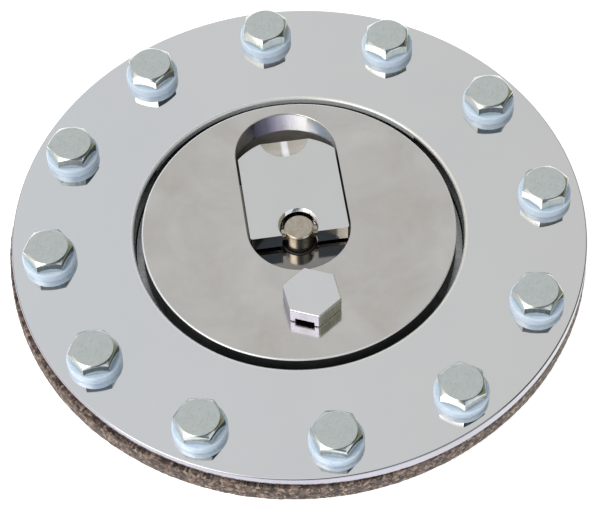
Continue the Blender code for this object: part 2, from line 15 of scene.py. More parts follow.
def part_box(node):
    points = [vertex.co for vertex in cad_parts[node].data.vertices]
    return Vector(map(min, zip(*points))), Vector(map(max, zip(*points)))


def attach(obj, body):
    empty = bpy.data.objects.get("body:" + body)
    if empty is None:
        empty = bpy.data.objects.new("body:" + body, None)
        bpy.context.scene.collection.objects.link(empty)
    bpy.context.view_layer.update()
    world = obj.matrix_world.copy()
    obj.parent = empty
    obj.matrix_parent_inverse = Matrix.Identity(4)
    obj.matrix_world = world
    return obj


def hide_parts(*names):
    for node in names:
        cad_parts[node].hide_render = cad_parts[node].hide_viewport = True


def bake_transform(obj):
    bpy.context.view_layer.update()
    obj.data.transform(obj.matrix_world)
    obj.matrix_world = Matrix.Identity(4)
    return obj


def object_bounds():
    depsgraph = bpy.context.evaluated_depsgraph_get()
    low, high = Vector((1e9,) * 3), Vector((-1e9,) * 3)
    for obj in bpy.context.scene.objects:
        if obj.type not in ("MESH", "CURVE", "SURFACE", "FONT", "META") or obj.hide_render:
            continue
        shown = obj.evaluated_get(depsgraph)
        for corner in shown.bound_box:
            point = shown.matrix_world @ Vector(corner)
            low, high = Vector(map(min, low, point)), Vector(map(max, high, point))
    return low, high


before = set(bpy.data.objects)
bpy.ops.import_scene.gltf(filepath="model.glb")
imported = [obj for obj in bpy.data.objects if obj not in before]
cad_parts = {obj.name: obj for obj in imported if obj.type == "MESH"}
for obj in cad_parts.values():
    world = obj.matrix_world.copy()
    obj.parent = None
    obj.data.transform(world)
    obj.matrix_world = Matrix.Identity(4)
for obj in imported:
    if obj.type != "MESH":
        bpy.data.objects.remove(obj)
cad_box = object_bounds()

MM = 0.001
BOLT_COUNT = 12
FULL_TURN = 2 * pi


# ---- sizes from the frame

def low(node):
    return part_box(node)[0]


def high(node):
    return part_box(node)[1]


def width(node):
    lo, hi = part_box(node)
    return hi.x - lo.x


def middle(node):
    lo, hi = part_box(node)
    return (lo + hi) / 2


FLANGE_TOP = high("flange_ring").z
FLANGE_RADIUS = width("flange_ring") / 2
NECK_BOTTOM = low("flange_ring").z
CAP_TOP = high("cap_disc").z
CAP_RADIUS = width("cap_disc") / 2
PIN_HEIGHT = middle("cross_pin").z

# Sizes that no box gives: most repeat the CAD model's own, a few only place fine edges and the edges of
# painted shade and painted reflection
RIM_THICKNESS = 2.8 * MM
OPENING_RADIUS = 40.2 * MM
OPENING_LIP = 0.8 * MM
LIT_DEPTH = 1.7 * MM
LEDGE_DEPTH = 6.8 * MM
NECK_BORE_RADIUS = 36.9 * MM
NECK_RADIUS = 45.0 * MM
FAR_SIDE_Y = 24.0 * MM
BOLT_HEAD_FLATS = 10.5 * MM
BOLT_HEAD_CHAMFER = 0.4 * MM
HEAD_SLOPE_DEG = 32
BOLT_TURNS_DEG = (46, 47, 25, 40, 18, 56, 15, 18, 32, 29, 23, 5)
POCKET_RADIUS = 12.6 * MM
POCKET_LENGTH = 22.6 * MM
POCKET_FLOOR = CAP_TOP - 5.8 * MM
RECESS_START = 19.0 * MM
RECESS_FLOOR = CAP_TOP - 7.6 * MM
SLOPE_FALL = 3.2 * MM
SLOPE_ARC_RADIUS = 15.2 * MM
SLOPE_ARC_Y = 17.3 * MM
LEVER_NOTCH_RADIUS = 4.4 * MM
LEVER_NOTCH_Y = 0.6 * MM
NOTCH_CHAMFER = 0.6 * MM
LEVER_HEEL_CHAMFER = 0.5 * MM
DISH_RADIUS = 6.3 * MM
DISH_DEPTH = 1.5 * MM
DISH_OFFSET = 0.4 * MM
GASKET_WIDE_SIDE = radians(218)
VENT_FLATS = 12.6 * MM
VENT_TURN = radians(6)
VENT_SLOT_WIDTH = 4.4 * MM
VENT_SLOT_HEIGHT = 1.2 * MM
VENT_SLOT_DIRECTION = radians(-114)

# How far a support row lies from a rounded edge
SUPPORT = 0.1 * MM


# ---- mesh helpers

def new_object(name, mesh):
    item = bpy.data.objects.new(name, mesh)
    bpy.context.scene.collection.objects.link(item)
    return item


def finished(shape, name, sharp_deg=35.0):
    """A bmesh as an object, smooth but for its sharp edges."""
    shape.normal_update()
    bmesh.ops.recalc_face_normals(shape, faces=shape.faces)
    mesh = bpy.data.meshes.new(name)
    shape.to_mesh(mesh)
    shape.free()
    mesh.shade_smooth()
    mesh.set_sharp_from_angle(angle=radians(sharp_deg))
    return new_object(name, mesh)


def rounded(points, radius, steps=5, closed=False):
    """The profile with its corners rounded, and a point close to each arc's ends to hold flats flat."""
    result = []
    count = len(points)
    for i, point in enumerate(points):
        here = Vector(point[:2])
        size = point[2] if len(point) > 2 else radius
        if (not closed and i in (0, count - 1)) or size <= 0:
            result.append(here)
            continue
        before = Vector(points[i - 1][:2]) - here
        after = Vector(points[(i + 1) % count][:2]) - here
        angle = before.angle(after)
        reach = size / tan(angle / 2)
        reach = min(reach, 0.49 * before.length, 0.49 * after.length)
        size = reach * tan(angle / 2)
        before.normalize()
        after.normalize()
        centre = here + (before + after).normalized() * (size / sin(angle / 2))
        start = here + before * reach
        end = here + after * reach
        support = min(0.12 * MM, 0.3 * reach)
        result.append(start + before * support)
        a = start - centre
        b = end - centre
        sweep = a.angle_signed(b)
        for k in range(steps + 1):
            turned = Matrix.Rotation(-sweep * k / steps, 2) @ a
            result.append(centre + turned)
        result.append(end + after * support)
    return result


def lathe(name, profile, segments=160, place=(0, 0, 0), closed=True, axis="Z"):
    """A profile of (radius, height) turned about the axis."""
    shape = bmesh.new()
    rings = []
    for point in profile:
        radius, height = point[0], point[1]
        if radius < 1e-7:
            rings.append([shape.verts.new((0, 0, height))])
            continue
        rings.append([
            shape.verts.new((radius * cos(t), radius * sin(t), height))
            for t in (FULL_TURN * k / segments for k in range(segments))
        ])
    pairs = list(zip(rings, rings[1:]))
    if closed:
        pairs.append((rings[-1], rings[0]))
    for lower, upper in pairs:
        if len(lower) == 1 and len(upper) == 1:
            continue
        for k in range(segments):
            n = (k + 1) % segments
            if len(lower) == 1:
                corners = [lower[0], upper[k], upper[n]]
            elif len(upper) == 1:
                corners = [lower[k], lower[n], upper[0]]
            else:
                corners = [lower[k], lower[n], upper[n], upper[k]]
            shape.faces.new(corners)
    if axis == "X":
        shape.transform(Matrix.Rotation(pi / 2, 4, "Y"))
    item = finished(shape, name)
    item.location = place
    return item


def arc(centre, radius, start, end, count):
    return [
        (centre[0] + radius * cos(start + (end - start) * k / count),
         centre[1] + radius * sin(start + (end - start) * k / count))
        for k in range(count + 1)
    ]


def circle(radius, centre=(0, 0), count=96, start=0.0):
    return arc(centre, radius, start, start + FULL_TURN, count)[:-1]


def flat_face(shape, outer, holes, height):
    """A flat face at that height, with holes. The loops are lists of (x, y)."""
    points = []
    edges = []
    for loop in [outer] + holes:
        first = len(points)
        points += [Vector(p) for p in loop]
        edges += [(first + k, first + (k + 1) % len(loop)) for k in range(len(loop))]
    found, _, faces, *_ = delaunay_2d_cdt(points, edges, [], 0, 1e-9)
    keep = []
    for face in faces:
        centre = sum((found[k] for k in face), Vector((0, 0))) / len(face)
        if inside(centre, outer) and not any(inside(centre, hole) for hole in holes):
            keep.append(face)
    verts = {}
    for face in keep:
        corners = []
        for k in face:
            if k not in verts:
                verts[k] = shape.verts.new((found[k].x, found[k].y, height))
            corners.append(verts[k])
        shape.faces.new(corners)


def inside(point, loop):
    x, y = point
    within = False
    for (x0, y0), (x1, y1) in zip(loop, loop[1:] + loop[:1]):
        if (y0 > y) != (y1 > y) and x < (x1 - x0) * (y - y0) / (y1 - y0) + x0:
            within = not within
    return within


def wall(shape, loops, closed=True):
    """Walls between loops of equal length, each a list of (x, y, z)."""
    rows = [[shape.verts.new(p) for p in loop] for loop in loops]
    count = len(rows[0])
    last = count if closed else count - 1
    for one, two in zip(rows, rows[1:]):
        for k in range(last):
            n = (k + 1) % count
            shape.faces.new((one[k], one[n], two[n], two[k]))


def raised(loop, height):
    return [(x, y, height) for x, y in loop]


def weld(shape, within=0.0005 * MM):
    bmesh.ops.remove_doubles(shape, verts=shape.verts, dist=within)


def rounding_only(radius, steps=4):
    """(offset, drop) pairs of a quarter round, from the flat to the wall."""
    return [
        (radius * (1 - sin(pi / 2 * k / steps)), radius * (1 - cos(pi / 2 * k / steps)))
        for k in range(steps + 1)
    ]


def edge_rounding(radius, steps=4):
    """The same with a support at each end, to hold the flats beside it flat."""
    return [(radius + SUPPORT, 0.0)] + rounding_only(radius, steps) + [(0.0, radius + SUPPORT)]


def add_modifier(item, kind, **values):
    modifier = item.modifiers.new(kind.lower(), kind)
    for key, value in values.items():
        setattr(modifier, key, value)
    return modifier


def apply_all(item):
    """The item's shape with its modifiers applied."""
    bpy.context.view_layer.update()
    graph = bpy.context.evaluated_depsgraph_get()
    mesh = bpy.data.meshes.new_from_object(item.evaluated_get(graph))
    item.modifiers.clear()
    item.data = mesh


def cut_away(item, *cutters):
    for cutter in cutters:
        add_modifier(item, "BOOLEAN", operation="DIFFERENCE", solver="EXACT", object=cutter)
        apply_all(item)
        bpy.data.objects.remove(cutter, do_unlink=True)


def soften(item, radius, limit_deg=30.0, segments=3):
    """Rounds the item's sharp edges and keeps its flats flat."""
    item.data.shade_smooth()
    add_modifier(
        item, "BEVEL", width=radius, segments=segments, limit_method="ANGLE",
        angle_limit=radians(limit_deg), harden_normals=True, use_clamp_overlap=True,
    )
    apply_all(item)


def flatten_shading(item, sharp_deg):
    """Large faces keep their own normals, so that only the small ones beside them look round."""
    item.data.set_sharp_from_angle(angle=radians(sharp_deg))
    add_modifier(item, "WEIGHTED_NORMAL", keep_sharp=True, weight=80)
    apply_all(item)


def joined(items, name, sharp_deg=24.0):
    """The items' shapes in one mesh. The items themselves are removed."""
    shape = bmesh.new()
    for item in items:
        shape.from_mesh(item.data)
        bpy.data.objects.remove(item, do_unlink=True)
    mesh = bpy.data.meshes.new(name)
    shape.to_mesh(mesh)
    shape.free()
    mesh.shade_smooth()
    mesh.set_sharp_from_angle(angle=radians(sharp_deg))
    return mesh


def block(name, size, turn=0.0, place=(0, 0, 0), axis="Z"):
    shape = bmesh.new()
    bmesh.ops.create_cube(shape, size=1.0)
    shape.transform(Matrix.Diagonal((*size, 1)))
    shape.transform(Matrix.Rotation(turn, 4, axis))
    item = finished(shape, name)
    item.location = place
    return item


def coil(name, radius, wire, bottom, top, turns, place=(0, 0, 0)):
    """A compression spring with its end turns closed up."""
    shape = bmesh.new()
    per_turn = 48
    around = 14
    count = int(per_turn * turns)
    low_z = bottom + wire
    high_z = top - wire
    previous = None
    for k in range(count + 1):
        share = k / count
        eased = share - sin(FULL_TURN * share) / FULL_TURN * 0.35
        turn = FULL_TURN * turns * share
        centre = Vector((radius * cos(turn), radius * sin(turn), low_z + (high_z - low_z) * eased))
        outward = Vector((cos(turn), sin(turn), 0))
        ring = [
            shape.verts.new(centre + outward * wire * cos(t) + Vector((0, 0, wire * sin(t))))
            for t in (FULL_TURN * j / around for j in range(around))
        ]
        if previous:
            for j in range(around):
                n = (j + 1) % around
                shape.faces.new((previous[j], previous[n], ring[n], ring[j]))
        else:
            shape.faces.new(ring)
        previous = ring
    shape.faces.new(previous)
    item = finished(shape, name)
    item.location = place
    return item


def hexagon_reach(angle, flats, turn):
    """How far a hexagon reaches from its middle in that direction. turn is a corner's direction."""
    off = (angle - turn) % (pi / 3) - pi / 6
    return flats / 2 / cos(off)


def hexagon_head(shape, flats, bottom, top, top_radius, slope_deg, turn=0.0, per_side=16,
                 hole=0.0, soft=0.06 * MM):
    """A hexagon head whose corners are turned off by a cone, with small round edges.

    With a hole it is a nut, chamfered at both ends.
    """
    angles = []
    for side in range(6):
        for k in range(per_side):
            share = k / per_side
            eased = share - 0.12 * sin(FULL_TURN * share)
            angles.append(turn + pi / 3 * (side + eased))
    slope = tan(radians(slope_deg))
    hole_edge = 0.3 * MM
    nearly_closed = 0.02 * MM
    rows = []

    def add_row(reach, height):
        rows.append([(reach(a) * cos(a), reach(a) * sin(a), height(a)) for a in angles])

    def outline(a):
        return hexagon_reach(a, flats, turn)

    def chamfer_drop(a):
        return (outline(a) - top_radius) * slope

    if hole:
        add_row(lambda a: hole, lambda a: top - hole_edge)
        add_row(lambda a: hole + hole_edge, lambda a: top)
    else:
        add_row(lambda a: nearly_closed, lambda a: top)
    add_row(lambda a: top_radius - 2.5 * soft, lambda a: top)
    add_row(lambda a: top_radius - soft, lambda a: top)
    add_row(lambda a: top_radius, lambda a: top - 0.3 * soft * slope)
    add_row(lambda a: top_radius + soft, lambda a: top - soft * slope)
    add_row(
        lambda a: max(outline(a) - soft, top_radius + 1.5 * soft),
        lambda a: top - max(chamfer_drop(a) - soft * slope, 1.5 * soft * slope),
    )
    add_row(
        lambda a: outline(a) - 0.25 * soft, lambda a: top - chamfer_drop(a) - 0.35 * soft,
    )
    add_row(outline, lambda a: top - chamfer_drop(a) - 1.6 * soft)
    if hole:
        add_row(outline, lambda a: bottom + chamfer_drop(a) + 1.6 * soft)
        add_row(lambda a: top_radius, lambda a: bottom)
        add_row(lambda a: hole + hole_edge, lambda a: bottom)
        add_row(lambda a: hole, lambda a: bottom + hole_edge)
        rows.append(rows[0])
    else:
        add_row(outline, lambda a: bottom + soft)
        add_row(lambda a: outline(a) - soft, lambda a: bottom)
        add_row(lambda a: nearly_closed, lambda a: bottom)
    wall(shape, rows)
    weld(shape)
    if not hole:
        bmesh.ops.holes_fill(shape, edges=shape.edges, sides=0)


def thread_profile(radius, bottom, top, pitch, depth):
    """Points up a shank with round-bottomed grooves."""
    points = []
    count = max(1, int((top - bottom) / pitch))
    for k in range(count):
        z = bottom + pitch * k
        points += [
            (radius, z), (radius, z + 0.15 * pitch), (radius - depth, z + 0.5 * pitch),
            (radius - depth, z + 0.6 * pitch), (radius, z + 0.95 * pitch),
        ]
    return points


# ---- materials

class Nodes:
    """A short way to write a material's nodes."""

    def __init__(self, tree):
        self.tree = tree

    def add(self, kind, **inputs):
        node = self.tree.nodes.new(kind)
        self.feed(node, inputs)
        return node

    def feed(self, node, inputs):
        for name, value in inputs.items():
            self.set_socket(node.inputs[name], value)

    def set_socket(self, socket, value):
        if isinstance(value, bpy.types.NodeSocket):
            self.tree.links.new(value, socket)
        else:
            socket.default_value = value

    def position(self, scale=(1, 1, 1)):
        where = self.add("ShaderNodeTexCoord")
        mapped = self.add("ShaderNodeMapping", Vector=where.outputs["Object"])
        mapped.inputs["Scale"].default_value = scale
        return mapped.outputs["Vector"]

    def noise(self, where, scale, detail=4.0, roughness=0.55, distortion=0.0):
        node = self.add(
            "ShaderNodeTexNoise", Vector=where, Scale=scale, Detail=detail,
            Roughness=roughness, Distortion=distortion,
        )
        return node.outputs["Fac"]

    def ramp(self, value, stops):
        node = self.add("ShaderNodeValToRGB", Fac=value)
        elements = node.color_ramp.elements
        elements[0].position, elements[0].color = stops[0][0], (*stops[0][1], 1)
        elements[1].position, elements[1].color = stops[-1][0], (*stops[-1][1], 1)
        for position, colour in stops[1:-1]:
            element = elements.new(position)
            element.color = (*colour, 1)
        return node.outputs["Color"]

    def spread(self, value, from_low, from_high, to_low=0.0, to_high=1.0, curve="LINEAR"):
        node = self.add("ShaderNodeMapRange", Value=value)
        node.interpolation_type = curve
        for name, number in (
            ("From Min", from_low), ("From Max", from_high), ("To Min", to_low), ("To Max", to_high)
        ):
            node.inputs[name].default_value = number
        return node.outputs["Result"]

    def mix(self, share, one, two, mode="MIX"):
        node = self.add("ShaderNodeMix")
        node.data_type = "RGBA"
        node.blend_type = mode
        for socket, value in ((node.inputs[0], share), (node.inputs[6], one), (node.inputs[7], two)):
            self.set_socket(socket, (*value, 1) if isinstance(value, tuple) else value)
        return node.outputs[2]

    def maths(self, kind, one, two=0.0):
        node = self.add("ShaderNodeMath")
        node.operation = kind
        for socket, value in zip(node.inputs, (one, two)):
            self.set_socket(socket, value)
        return node.outputs[0]

    def bump(self, height, strength, distance, normal=None):
        node = self.add("ShaderNodeBump", Height=height, Strength=strength, Distance=distance)
        if normal:
            self.tree.links.new(normal, node.inputs["Normal"])
        return node.outputs["Normal"]


GRAIN_DEPTH = 0.02 * MM
SWELL_DEPTH = 0.5 * MM


def new_material(name):
    material = bpy.data.materials.new(name)
    material.use_nodes = True
    nodes = Nodes(material.node_tree)
    shader = material.node_tree.nodes["Principled BSDF"]
    return material, nodes, shader


def metal(name, dark, light, rough, blotch_scale=60.0, grain=0.03, grain_scale=(900, 900, 900),
          wave=0.0, wave_scale=45.0, speck=None, rough_spread=0.25, across=None, metallic=1.0):
    """A metal with a slowly varying tint, faint wipe marks and a fine grain in its bump."""
    material, n, shader = new_material(name)
    where = n.position()
    cloud = n.noise(where, blotch_scale, 5.0, 0.6, 0.4)
    tint = n.ramp(cloud, [(0.3, dark), (0.7, light)])
    if speck:
        spots = n.noise(where, speck[0], 2.0, 0.5)
        share = n.spread(spots, speck[1], speck[1] + 0.06, 0.0, speck[2])
        tint = n.mix(share, tint, speck[3])
    # across tints the metal from one side of the flange to the other: painted reflection on the flange
    # and lip, painted shade in the gap.
    if across:
        place = n.add("ShaderNodeSeparateXYZ", Vector=where).outputs["X"]
        drift = n.maths("ADD", place, n.spread(cloud, 0.3, 0.7, -12 * MM, 12 * MM))
        tint = n.mix(n.spread(drift, -FLANGE_RADIUS, FLANGE_RADIUS), tint,
                     n.mix(1.0, tint, across, "MULTIPLY"))
    wipe = n.noise(n.position((1.0, 6.0, 1.0)), 140.0, 4.0, 0.6, 1.2)
    level = n.spread(wipe, 0.3, 0.75, rough * (1 - rough_spread), rough * (1 + rough_spread))
    grains = n.noise(n.position(grain_scale), 1.0, 3.0, 0.6)
    normal = n.bump(grains, grain, GRAIN_DEPTH)
    if wave:
        swell = n.noise(where, wave_scale, 2.0, 0.5)
        normal = n.bump(swell, wave, SWELL_DEPTH, normal)
    n.feed(shader, {"Base Color": tint, "Roughness": level, "Normal": normal, "Metallic": metallic})
    return material


def painted_reflection_metal(name, half_width, stops, rough, metallic):
    """A dull metal with a painted reflection: its tint runs from one side of the part to the other, with
    faint streaks.
    """
    material, n, shader = new_material(name)
    place = n.add("ShaderNodeSeparateXYZ", Vector=n.position()).outputs["X"]
    streaks = n.noise(n.position((1.0, 0.15, 0.15)), 600.0, 3.0, 0.6)
    reach = half_width / 40
    drift = n.maths("ADD", place, n.spread(streaks, 0.3, 0.7, -reach, reach))
    tint = n.ramp(n.spread(drift, -half_width, half_width), stops)
    grains = n.noise(n.position(), 900.0, 3.0, 0.6)
    n.feed(shader, {
        "Base Color": tint, "Roughness": n.spread(streaks, 0.3, 0.7, rough * 0.8, rough * 1.2),
        "Normal": n.bump(grains, 0.05, GRAIN_DEPTH), "Metallic": metallic,
    })
    return material


def cork_rubber():
    """Cork granules in a brown and black binder."""
    material, n, shader = new_material("cork and rubber")
    where = n.position()
    bent = n.noise(where, 420.0, 3.0, 0.6)
    cells = n.add("ShaderNodeTexVoronoi", Vector=where, Scale=1150.0, Randomness=1.0)
    small = n.add("ShaderNodeTexVoronoi", Vector=where, Scale=2100.0, Randomness=1.0)
    pick = n.add("ShaderNodeSeparateColor", Color=cells.outputs["Color"])
    pick_small = n.add("ShaderNodeSeparateColor", Color=small.outputs["Color"])
    tone = n.ramp(pick.outputs["Red"], [
        (0.0, (0.012, 0.010, 0.010)), (0.3, (0.030, 0.020, 0.018)), (0.55, (0.09, 0.055, 0.042)),
        (0.78, (0.20, 0.13, 0.10)), (1.0, (0.46, 0.36, 0.27)),
    ])
    fine = n.ramp(pick_small.outputs["Green"], [
        (0.0, (0.010, 0.009, 0.010)), (0.6, (0.085, 0.05, 0.04)), (1.0, (0.40, 0.30, 0.24)),
    ])
    colour = n.mix(n.spread(bent, 0.42, 0.58, 0.15, 0.75), tone, fine)
    gaps = n.spread(cells.outputs["Distance"], 0.0, 0.6, 1.0, 0.0)
    grit = n.noise(where, 2600.0, 3.0, 0.7)
    normal = n.bump(gaps, 0.5, 0.3 * MM, n.bump(grit, 0.4, 0.15 * MM))
    n.feed(shader, {
        "Base Color": colour, "Normal": normal,
        "Roughness": n.spread(grit, 0.2, 0.8, 0.45, 0.85),
    })
    return material


def nylon():
    """Milky plastic with a faint cool tint and moulding ripples."""
    material, n, shader = new_material("white nylon")
    where = n.position()
    cloud = n.noise(where, 260.0, 4.0, 0.6)
    colour = n.ramp(cloud, [(0.3, (0.58, 0.70, 0.86)), (0.7, (0.68, 0.79, 0.92))])
    ripple = n.noise(where, 1800.0, 3.0, 0.6)
    n.feed(shader, {
        "Base Color": colour, "Roughness": n.spread(cloud, 0.3, 0.7, 0.24, 0.38),
        "Normal": n.bump(ripple, 0.12, 0.05 * MM), "IOR": 1.53, "Subsurface Weight": 0.35,
        "Subsurface Radius": (0.5, 0.6, 0.7), "Subsurface Scale": 1.5 * MM,
    })
    return material


def black_rubber():
    material, n, shader = new_material("black rubber")
    where = n.position()
    cloud = n.noise(where, 180.0, 4.0, 0.6)
    dust = n.noise(where, 1500.0, 3.0, 0.7)
    colour = n.mix(
        n.spread(dust, 0.62, 0.75, 0.0, 0.5),
        n.ramp(cloud, [(0.3, (0.010, 0.010, 0.011)), (0.7, (0.022, 0.021, 0.021))]),
        (0.06, 0.058, 0.055),
    )
    n.feed(shader, {
        "Base Color": colour, "Roughness": n.spread(cloud, 0.3, 0.7, 0.42, 0.62),
        "Normal": n.bump(dust, 0.2, 0.1 * MM),
    })
    return material


# Painted reflection tint: the polished flange is cooler at the left and warmer at the right.
FLANGE_METAL = metal(
    "polished flange metal", (0.785, 0.805, 0.825), (0.82, 0.835, 0.85), 0.045,
    blotch_scale=22.0, grain=0.02, wave=0.012, wave_scale=30.0, across=(0.95, 0.92, 0.885),
)
CAP_METAL = metal(
    "polished cap metal", (0.60, 0.567, 0.525), (0.71, 0.695, 0.665), 0.14,
    blotch_scale=55.0, grain=0.04, wave=0.01, wave_scale=40.0,
)
LEVER_METAL = metal(
    "lever metal", (0.735, 0.73, 0.72), (0.76, 0.76, 0.755), 0.12, blotch_scale=70.0, grain=0.04,
)
VENT_METAL = metal(
    "vent metal", (0.76, 0.765, 0.77), (0.79, 0.79, 0.79), 0.10, blotch_scale=90.0, grain=0.03,
)
NICKEL = metal(
    "nickel plate", (0.47, 0.41, 0.33), (0.60, 0.545, 0.46), 0.25, blotch_scale=700.0, grain=0.25,
    speck=(2600.0, 0.55, 0.5, (0.42, 0.36, 0.28)),
)
ZINC = metal(
    "zinc plate", (0.60, 0.645, 0.625), (0.67, 0.705, 0.685), 0.20, blotch_scale=260.0, grain=0.10,
    speck=(1300.0, 0.56, 0.4, (0.50, 0.55, 0.53)),
)
PLAIN_STEEL = metal(
    "plain steel", (0.26, 0.26, 0.26), (0.37, 0.37, 0.365), 0.32, blotch_scale=120.0, grain=0.2,
)
SPRING_STEEL = metal(
    "spring steel", (0.30, 0.30, 0.31), (0.42, 0.42, 0.42), 0.28, blotch_scale=400.0, grain=0.15,
)
# Painted shade: near-black metal on the pocket's long sides and in the vent's slot, where shade falls.
PAINTED_SHADE_METAL = metal(
    "painted shade metal", (0.016, 0.019, 0.026), (0.035, 0.04, 0.05), 0.35, blotch_scale=120.0,
    grain=0.1,
)
# Painted shade: near-black metal in the gap between cap and flange, lighter towards the right side.
GAP_SHADE_METAL = metal(
    "painted shade in the gap", (0.009, 0.011, 0.014), (0.024, 0.026, 0.029), 0.4, blotch_scale=90.0,
    grain=0.1, across=(3.0, 2.8, 2.4), metallic=0.3,
)
# Painted highlight: pale bluish metal on the opening's lip and the cap's rounded rim, warmer towards the
# right.
LIP_HIGHLIGHT_METAL = metal(
    "lip metal with painted highlight", (0.84, 0.88, 0.94), (0.94, 0.97, 1.0), 0.35, blotch_scale=60.0, grain=0.05,
    across=(0.86, 0.80, 0.70), metallic=0.45,
)
# Painted reflection: pale bluish metal on the far side of the opening's wall.
FAR_WALL_REFLECTION_METAL = metal(
    "inner wall with painted reflection", (0.80, 0.87, 0.96), (0.92, 0.97, 1.0), 0.5, blotch_scale=50.0, grain=0.1,
    metallic=0.2,
)
TURNED_GRAIN = (300, 300, 3000)
NECK_METAL = metal(
    "turned neck metal", (0.33, 0.335, 0.34), (0.43, 0.435, 0.44), 0.28, blotch_scale=70.0,
    grain=0.12, grain_scale=TURNED_GRAIN,
)
# The turned grain is real; the darker lavender tint is painted shade on the flange's outer rim.
RIM_SHADE_METAL = metal(
    "turned rim metal with painted shade", (0.40, 0.395, 0.45), (0.47, 0.465, 0.52), 0.16, blotch_scale=40.0,
    grain=0.06, grain_scale=TURNED_GRAIN,
)
# Painted shade: dark brownish metal on the floor and low walls of the deep finger recess.
RECESS_SHADE_METAL = metal(
    "recess metal with painted shade", (0.15, 0.14, 0.125), (0.27, 0.255, 0.235), 0.45, blotch_scale=150.0, grain=0.15,
    metallic=0.2,
)
# Painted reflections: dark and bright bands across the recess slope, fixed to the part.
SLOPE_REFLECTION_METAL = painted_reflection_metal("recess slope with painted reflections", POCKET_RADIUS, [
    (0.0, (0.50, 0.47, 0.44)), (0.12, (0.40, 0.39, 0.37)), (0.22, (0.08, 0.08, 0.12)),
    (0.36, (0.12, 0.12, 0.17)), (0.48, (0.50, 0.46, 0.58)), (0.58, (0.95, 0.93, 1.0)),
    (0.76, (1.0, 1.0, 1.0)), (0.90, (0.66, 0.80, 1.0)), (1.0, (0.90, 0.92, 0.95)),
], 0.3, 0.6)
# Painted reflection and highlight: a beige dish with a white stripe down its middle.
DISH_REFLECTION_METAL = painted_reflection_metal("thumb dish with painted highlight", DISH_RADIUS, [
    (0.0, (0.60, 0.57, 0.51)), (0.41, (0.56, 0.52, 0.455)), (0.46, (1.0, 1.0, 1.0)),
    (0.54, (1.0, 1.0, 1.0)), (0.59, (0.54, 0.50, 0.435)), (1.0, (0.60, 0.56, 0.49)),
], 0.28, 0.7)
# Painted shade: the near pocket's floor and walls are darker than the cap's top.
POCKET_SHADE_METAL = metal(
    "pocket metal with painted shade", (0.25, 0.235, 0.22), (0.32, 0.305, 0.285), 0.10, blotch_scale=90.0, grain=0.05,
)
# Painted reflection: lavender on the vent head's left faces, pale cream on its right faces.
VENT_SIDE_REFLECTION_METAL = painted_reflection_metal("vent sides with painted reflection", VENT_FLATS * 0.58, [
    (0.0, (0.37, 0.37, 0.47)), (0.53, (0.40, 0.40, 0.50)), (0.57, (0.80, 0.80, 0.66)),
    (1.0, (0.86, 0.85, 0.68)),
], 0.28, 0.75)
NYLON = nylon()
CORK = cork_rubber()
RUBBER = black_rubber()


def add_piece(item, material, body, nodes, others=()):
    """The piece gets its material, rides on its body and stands for its CAD nodes.

    others holds (material, test) pairs: a face whose middle passes the test gets that material.
    """
    item.data.materials.clear()
    item.data.materials.append(material)
    for index, (other, test) in enumerate(others, 1):
        item.data.materials.append(other)
        for face in item.data.polygons:
            if test(face.center):
                face.material_index = index
    if body:
        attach(item, body)
    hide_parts(*nodes)


# ---- flange, gasket, nut ring

def make_flange():
    bottom = FLANGE_TOP - RIM_THICKNESS
    ledge = FLANGE_TOP - LEDGE_DEPTH
    profile = [
        (NECK_BORE_RADIUS, ledge, 0.3 * MM),
        (OPENING_RADIUS, ledge, 0.3 * MM),
        (OPENING_RADIUS, FLANGE_TOP - LIT_DEPTH, 0),
        (OPENING_RADIUS, FLANGE_TOP, OPENING_LIP),
        (FLANGE_RADIUS, FLANGE_TOP, 0.4 * MM),
        (FLANGE_RADIUS, bottom, 0.25 * MM),
        (NECK_RADIUS, bottom, 0.3 * MM),
        (NECK_RADIUS, NECK_BOTTOM, 0.5 * MM),
        (NECK_BORE_RADIUS, NECK_BOTTOM, 0.5 * MM),
    ]
    ring = lathe("flange_ring_fine", rounded(profile, 0, closed=True), 288)

    # Painted shade on the opening's wall below the lip.
    def in_opening(at):
        return at.xy.length < OPENING_RADIUS + 0.1 * MM and at.z < FLANGE_TOP - OPENING_LIP

    def on_neck(at):
        under_rim = at.xy.length > NECK_BORE_RADIUS + MM and at.z > bottom - 0.02 * MM
        return at.z < ledge - 0.01 * MM or (at.z < bottom + 0.01 * MM and not under_rim)

    # Painted reflection on the far side of the opening's wall, above LIT_DEPTH.
    def far_in_opening(at):
        return in_opening(at) and at.z > FLANGE_TOP - LIT_DEPTH and at.y >= FAR_SIDE_Y

    # Painted highlight on the opening's rounded lip.
    def on_lip(at):
        within = OPENING_RADIUS - 0.1 * MM < at.xy.length < OPENING_RADIUS + OPENING_LIP
        return within and FLANGE_TOP - OPENING_LIP <= at.z < FLANGE_TOP - 0.005 * MM

    # Painted shade on the flange's outer rim.
    def on_rim(at):
        return at.xy.length > FLANGE_RADIUS - 0.25 * MM

    add_piece(
        ring, FLANGE_METAL, "flange", ["flange_ring"],
        [(GAP_SHADE_METAL, in_opening), (NECK_METAL, on_neck), (FAR_WALL_REFLECTION_METAL, far_in_opening),
         (LIP_HIGHLIGHT_METAL, on_lip), (RIM_SHADE_METAL, on_rim)],
    )


